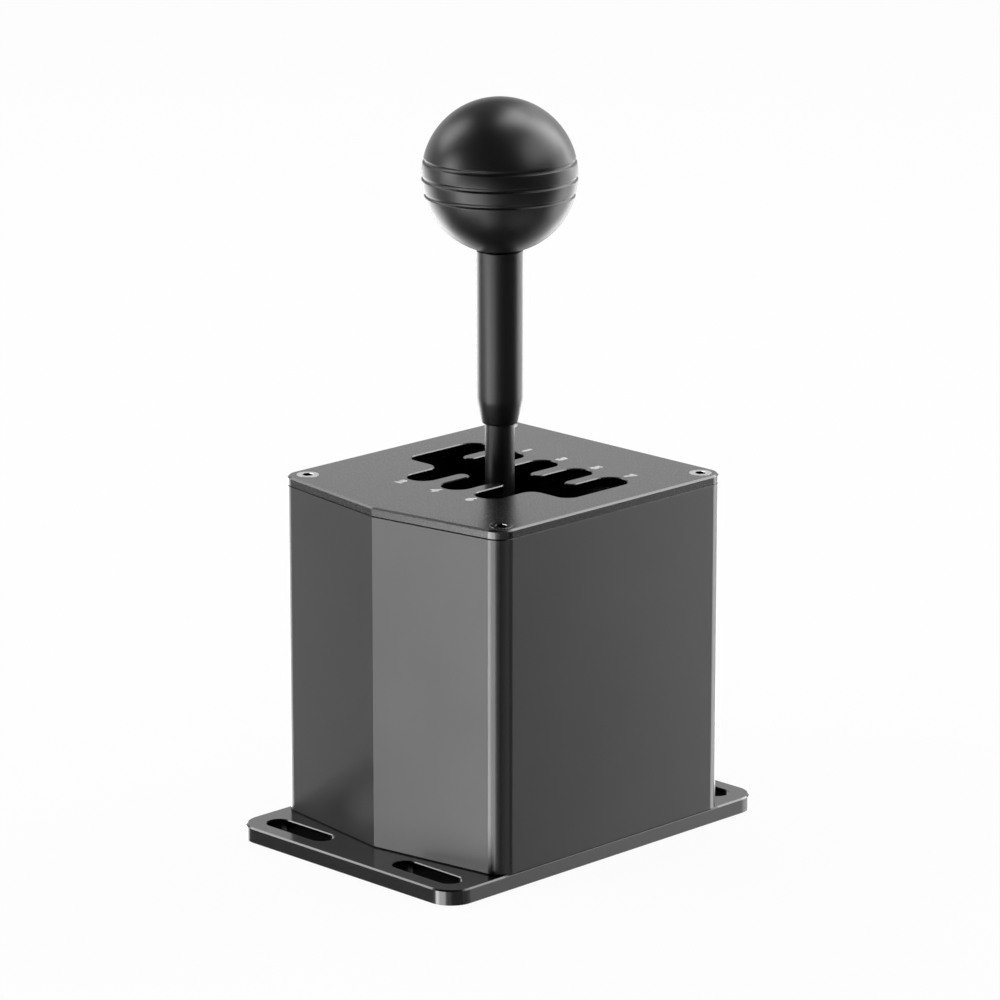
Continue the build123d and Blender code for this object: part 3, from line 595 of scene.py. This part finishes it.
def screwGrid(shape):
    # The turned outside runs from the tip to the rim. The socket's radius is its corners' radius
    # times the cosine of 30 degrees, over the cosine of the angle from the nearest flat's middle.
    segments = shape["segments"]
    cone = shape["head"] - shape["shank"]
    root = shape["shank"] - shape["threadDepth"]
    chamfer = shape["tipChamfer"]
    end = roundedPath([(0, -shape["length"], 0), (root - chamfer, -shape["length"], 0)])
    thread = threadGrid(
        shape, shape["shank"], -shape["length"] + chamfer, -cone - shape["threadGap"]
    )
    head = roundedPath([
        (root, -cone, 0),
        (shape["shank"], -cone, shape["neckRound"]),
        (shape["head"], 0, shape["rim"]),
        (shape["head"] - shape["land"], 0, 0),
        (shape["socket"] + shape["socketRound"] + shape["land"], 0, 0),
    ])
    angle = np.linspace(0, 2 * math.pi, segments, endpoint=False)
    corner = math.cos(math.pi / 6) / np.cos((angle % (math.pi / 3)) - math.pi / 6)
    # From the head's face over the rounded rim, down the wall and in to the point
    lip, depth = shape["socketRound"], shape["socketDepth"]
    drops = np.array([0.0, 0.0, -lip, -depth, -depth - shape["socketPoint"]])
    spans = shape["socket"] + np.array([lip * shape["socketRim"], lip, 0.0, 0.0, -shape["socket"]])
    reach = spans[:, None] * corner[None, :]
    drops = drops[:, None] + 0 * reach
    socket = np.stack([reach * np.cos(angle), reach * np.sin(angle), drops], axis=-1)
    return np.concatenate([turned(end, segments), thread, turned(head, segments), socket])


def screwSet(name, replaced, places, height, headUp):
    # Copies of one screw at each place; heads that face down are turned half round the X axis
    flip = np.array([1, 1, 1]) if headUp else np.array([1, -1, -1])
    grid = screwGrid(screw) * flip
    piece = gridMesh(name, [(grid + np.array([x, y, height])) * mm for x, y in places])
    dress(piece, "shell", "screw_steel", replaced)
    piece.data.set_sharp_from_angle(angle=math.radians(screw["sharpAngle"]))


def placesOf(name):
    # The middles of four equal round pieces at the corners of a node's box
    low, high = (np.array(corner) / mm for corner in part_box(name))
    low, high = low + screw["head"], high - screw["head"]
    return [(x, y) for x in (low[0], high[0]) for y in (low[1], high[1])]


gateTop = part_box("gate_screws")[1].z / mm
screwSet("gate_screw_set", "gate_screws", placesOf("gate_screws"), gateTop, True)
# The other heads face down, flush with the underside
screwSet("base_screw_set", "base_screws", placesOf("base_screws"), 0, False)
screwSet("bracket_screw_set", "bracket_screws", placesOf("bracket_screws"), 0, False)
print("screws")

# Centring springs, which stand on their cups
spring = {
    "middle": 26.0, "coil": 4.4, "wire": 0.6, "turns": 7, "endShare": 0.25, "steps": 36,
    "around": 16,
}
springLow, springHigh = (corner.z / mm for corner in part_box("right_centring_spring"))


def springGrid(shape, low, high):
    # Rings of points round a helix, each across it. The helix climbs with the share of its length,
    # less a small sine of that share, so its turns lie closer at both ends, and the wire is cut
    # flat at the two heights.
    share = np.linspace(0, 1, shape["turns"] * shape["steps"] + 1)
    angle = 2 * math.pi * shape["turns"] * share
    closer = shape["endShare"] * np.sin(2 * math.pi * share) / (2 * math.pi)
    height = low + (high - low) * (share - closer)
    line = np.stack([shape["coil"] * np.cos(angle), shape["coil"] * np.sin(angle), height], axis=-1)
    outward = np.stack([np.cos(angle), np.sin(angle), 0 * angle], axis=-1)
    along = np.gradient(line, axis=0)
    along /= np.linalg.norm(along, axis=1)[:, None]
    over = np.cross(along, outward)
    turn = np.linspace(0, 2 * math.pi, shape["around"], endpoint=False)[None, :, None]
    rings = outward[:, None] * np.cos(turn) + over[:, None] * np.sin(turn)
    # The first and last rings come again with no radius and close the wire's ends
    rows = [0, *range(len(share)), -1]
    reach = np.concatenate([[0], np.full(len(share), shape["wire"]), [0]])[:, None, None]
    rings = line[rows][:, None] + rings[rows] * reach
    rings[:, :, 2] = np.clip(rings[:, :, 2], low, high)
    return rings[::-1]


for side, name in ((-1, "left"), (1, "right")):
    seat = side * spring["middle"]
    grid = springGrid(spring, springLow, springHigh) + np.array([seat, 0, 0])
    coil = gridMesh(name + "_spring_coil", [grid * mm])
    dress(coil, None, "spring_steel", name + "_centring_spring")
    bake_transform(coil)
print("springs")

# Gear numbers printed on the gate plate, each with the place of its middle
marks = {
    "height": 3.55, "capShare": 0.7, "weight": 0.4, "thickness": 0.05, "curveSteps": 6,
    "mergeDistance": 1e-5,
    "places": {
        "R": (-31.2, 28.3), "1": (-15.6, 28.3), "3": (0.4, 28.3), "5": (16.0, 28.3),
        "7": (31.1, 28.4), "2": (-16.1, -28.4), "4": (-0.8, -28.3), "6": (15.2, -28.0),
    },
}
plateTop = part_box("gate_plate")[1].z / mm


def printedMark(text, x, y):
    # A letter with a little thickness, turned into a mesh with its middle at its place
    curve = bpy.data.curves.new("mark_" + text, "FONT")
    curve.body = text
    curve.size = marks["height"] / marks["capShare"]
    curve.offset = marks["weight"]
    curve.extrude = marks["thickness"] / 2
    curve.resolution_u = marks["curveSteps"]
    holder = bpy.data.objects.new("mark_" + text, curve)
    bpy.context.scene.collection.objects.link(holder)
    raised = bpy.data.meshes.new_from_object(holder)
    bpy.data.objects.remove(holder)
    merged = bmesh.new()
    merged.from_mesh(raised)
    bmesh.ops.remove_doubles(merged, verts=merged.verts, dist=marks["mergeDistance"])
    bmesh.ops.recalc_face_normals(merged, faces=merged.faces)
    merged.to_mesh(raised)
    merged.free()
    points = np.empty(len(raised.vertices) * 3)
    raised.vertices.foreach_get("co", points)
    points = points.reshape(-1, 3)
    points[:, :2] -= (points[:, :2].max(axis=0) + points[:, :2].min(axis=0)) / 2
    points += (x, y, plateTop + marks["thickness"] / 2)
    raised.vertices.foreach_set("co", (points * mm).ravel())
    raised.update()
    piece = bpy.data.objects.new("mark_" + text, raised)
    bpy.context.scene.collection.objects.link(piece)
    dress(piece, "shell", "number_paint")


for text, place in marks["places"].items():
    printedMark(text, *place)
print("gear numbers")


def towards(azimuth, elevation):
    # x and y are the cosine of the elevation times the cosine and sine of the azimuth, z is the
    # sine of the elevation
    azimuth, elevation = np.radians(azimuth), np.radians(elevation)
    flat = np.cos(elevation)
    return np.stack([flat * np.cos(azimuth), flat * np.sin(azimuth), np.sin(elevation)], axis=-1)


def aimed(holder, place, target):
    # Turns an object so that its -Z axis points from its place to the target
    back = np.array(place) - np.array(target)
    back = back / np.linalg.norm(back)
    side = np.cross((0, 0, 1), back)
    side = side / np.linalg.norm(side)
    turn = np.eye(4)
    turn[:3, 0], turn[:3, 1], turn[:3, 2], turn[:3, 3] = side, np.cross(back, side), back, place
    holder.matrix_world = Matrix(turn.tolist())


def seenRays(graph):
    # 1 where the camera sees a thing straight, by its reflection or through glass
    path = node(graph, "ShaderNodeLightPath")
    share = path.outputs["Is Camera Ray"]
    for kind in ("Is Glossy Ray", "Is Transmission Ray"):
        share = combined(graph, "MAXIMUM", share, path.outputs[kind])
    return share


def showMixed(graph, share, lighting, seen, output):
    # One shader where it lights other things, and the other by the share where it is seen
    mix = node(graph, "ShaderNodeMixShader")
    graph.links.new(share, mix.inputs["Fac"])
    graph.links.new(lighting, mix.inputs[1])
    graph.links.new(seen, mix.inputs[2])
    graph.links.new(mix.outputs["Shader"], graph.nodes[output].inputs["Surface"])


# Floor, seen as white apart from a faint shadow, and left out of reflections
floor = {
    "half": 6.0, "level": -0.0002, "tone": 0.95, "roughness": 0.9, "gloss": 0.0,
    "whiteShare": 0.94,
}
floorPlan = np.array([[(-1, -1), (1, -1)], [(-1, 1), (1, 1)]]) * floor["half"]
floorGrid = np.concatenate([floorPlan, np.full((2, 2, 1), floor["level"])], axis=-1)
floorPiece = gridMesh("floor", [floorGrid], closedAcross=False)
floorMaterial, floorGraph, floorShader = newMaterial("floor_white")
floorShader.inputs["Base Color"].default_value = (*grey(floor["tone"]), 1)
floorShader.inputs["Roughness"].default_value = floor["roughness"]
floorShader.inputs["Specular IOR Level"].default_value = floor["gloss"]
glow = node(floorGraph, "ShaderNodeEmission")
floorShare = combined(floorGraph, "MULTIPLY", seenRays(floorGraph), floor["whiteShare"])
showMixed(
    floorGraph, floorShare, floorShader.outputs["BSDF"], glow.outputs["Emission"],
    "Material Output",
)
floorPiece.data.materials.append(floorMaterial)
floorPiece.visible_glossy = False

# World, white where it is seen and softer where it lights
studio = {"soft": 0.55, "seen": 1.0, "lampDistance": 1.5, "lampTarget": (0, 0, 0.1)}
world = bpy.data.worlds.new("studio")
bpy.context.scene.world = world
world.use_nodes = True
worldGraph = world.node_tree
softWorld = worldGraph.nodes["Background"]
whiteWorld = node(worldGraph, "ShaderNodeBackground")
for background, strength in ((softWorld, studio["soft"]), (whiteWorld, studio["seen"])):
    background.inputs["Color"].default_value = (1, 1, 1, 1)
    background.inputs["Strength"].default_value = strength
showMixed(
    worldGraph, seenRays(worldGraph), softWorld.outputs["Background"],
    whiteWorld.outputs["Background"], "World Output",
)

# Each softbox: azimuth, elevation, width and height in metres, radiance
softboxes = {
    "key_left": (-125, 30, 0.8, 0.8, 2.6),
    "key_right": (75, 35, 0.8, 0.8, 2.6),
    "back_fill": (160, 40, 0.8, 0.8, 1.6),
}
for name, (azimuth, elevation, width, height, radiance) in softboxes.items():
    light = bpy.data.lights.new(name, "AREA")
    light.shape = "RECTANGLE"
    light.size = width
    light.size_y = height
    light.energy = radiance * math.pi * width * height
    holder = bpy.data.objects.new(name, light)
    bpy.context.scene.collection.objects.link(holder)
    target = np.array(studio["lampTarget"])
    aimed(holder, target + towards(azimuth, elevation) * studio["lampDistance"], target)
    holder.visible_glossy = False

# Cards of a studio dome that only reflections see, bright as softboxes or dark as flags.
# Each band has its elevation from and to, and runs of azimuth from, azimuth to and brightness.
dome = {
    "reach": 2.5, "steps": 9,
    "bands": {
        "low": (-90, -35, (
            (-180, -90, 0.12), (-90, -60, 2.81), (-60, -30, 0.0), (-30, 30, 0.82), (30, 60, 0.0),
            (60, 180, 1.16),
        )),
        "under": (-35, -3, (
            (-180, -165, 4.14), (-165, -113, 0.33), (-113, -98, 9.42), (-98, -68, 5.01),
            (-68, -45, 0.7), (-45, 15, 0.22), (15, 52, 0.0), (52, 65, 3.99), (65, 78, 5.61),
            (78, 90, 0.0), (90, 120, 4.47), (120, 150, 0.83), (150, 180, 5.57),
        )),
        "level": (-3, 25, (
            (-180, -135, 0.45), (-135, -113, 8.37), (-113, 52, 0.0), (52, 65, 4.3), (65, 78, 1.0),
            (78, 90, 8.38), (90, 180, 1.06),
        )),
        "upper": (25, 55, (
            (-180, -165, 4.05), (-165, -150, 7.44), (-150, 0, 0.09), (0, 65, 3.56), (65, 90, 9.87),
            (90, 120, 1.97), (120, 180, 0.31),
        )),
        "top": (55, 90, (
            (-180, 60, 0.01), (60, 120, 8.07), (120, 180, 0.0),
        )),
    },
}


def domeCard(name, azimuths, elevations, brightness):
    # A patch of a sphere: its radius along every direction between two azimuths and elevations
    azimuth = np.linspace(azimuths[1], azimuths[0], dome["steps"])[None, :]
    elevation = np.linspace(elevations[0], elevations[1], dome["steps"])[:, None]
    grid = towards(azimuth + 0 * elevation, elevation + 0 * azimuth) * dome["reach"]
    piece = gridMesh(name, [grid], closedAcross=False)
    material, graph, shader = newMaterial(name)
    graph.nodes.remove(shader)
    light = node(graph, "ShaderNodeEmission")
    light.inputs["Strength"].default_value = brightness
    graph.links.new(light.outputs["Emission"], graph.nodes["Material Output"].inputs["Surface"])
    material.cycles.emission_sampling = "NONE"
    piece.data.materials.append(material)
    piece.visible_camera = False
    piece.visible_diffuse = False
    piece.visible_transmission = False
    piece.visible_shadow = False


for band, (lowest, highest, runs) in dome["bands"].items():
    for count, (start, end, brightness) in enumerate(runs):
        domeCard("card_%s_%d" % (band, count), (start, end), (lowest, highest), brightness)

# Camera, worked out from the photograph's straight edges
view = {
    "place": (1.1668, -1.1687, 0.5543), "yaw": 44.951, "pitch": -15.074, "lens": 190.53,
    "sensor": 36, "farthest": 20,
}
cameraData = bpy.data.cameras.new("camera")
cameraData.sensor_width = view["sensor"]
cameraData.lens = view["lens"]
cameraData.clip_end = view["farthest"]
camera = bpy.data.objects.new("camera", cameraData)
bpy.context.scene.collection.objects.link(camera)
ahead = towards(90 + view["yaw"], view["pitch"])
aimed(camera, view["place"], np.array(view["place"]) + ahead)
bpy.context.scene.camera = camera
bpy.context.scene.view_settings.view_transform = "Standard"
print("floor, lights and camera")
